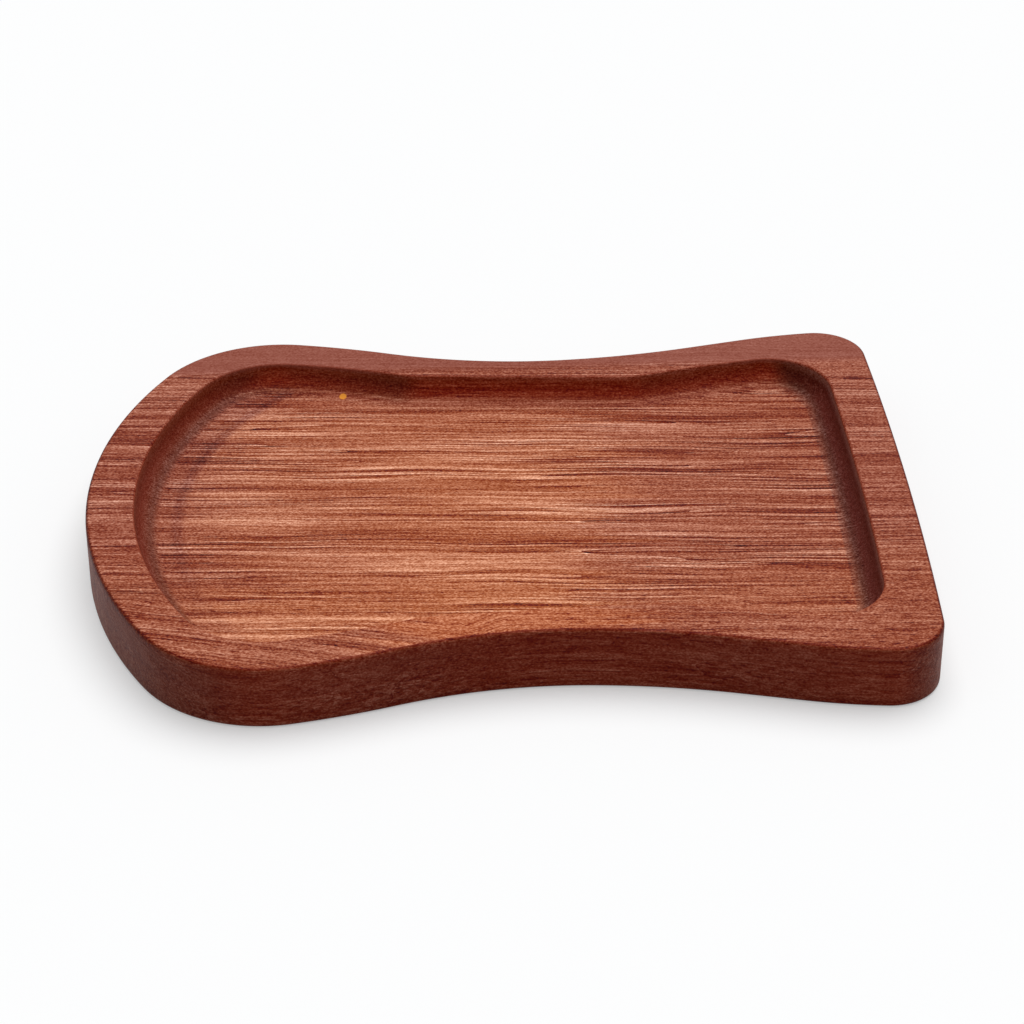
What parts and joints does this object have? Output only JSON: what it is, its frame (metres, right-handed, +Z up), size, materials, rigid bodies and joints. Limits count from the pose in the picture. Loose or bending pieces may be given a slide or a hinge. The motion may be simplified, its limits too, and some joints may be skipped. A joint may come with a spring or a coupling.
{
  "type": "coin tray",
  "caption": "Low wooden coin tray with a broad round end, hollowed sides and a shallow recess with a coved foot inside a flat rim.",
  "frame": {"origin": "middle of the underside, where the tray rests", "axes": "+X along the length towards the straight end, +Y across the tray, +Z up out of the recess"},
  "size_m": [0.2, 0.15, 0.016],
  "materials": {
    "wood": "thin satin oil over reddish-brown hardwood, with fine open grain"
  },
  "bodies": {
    "root": {"tray": "wood"}
  },
  "joints": []
}
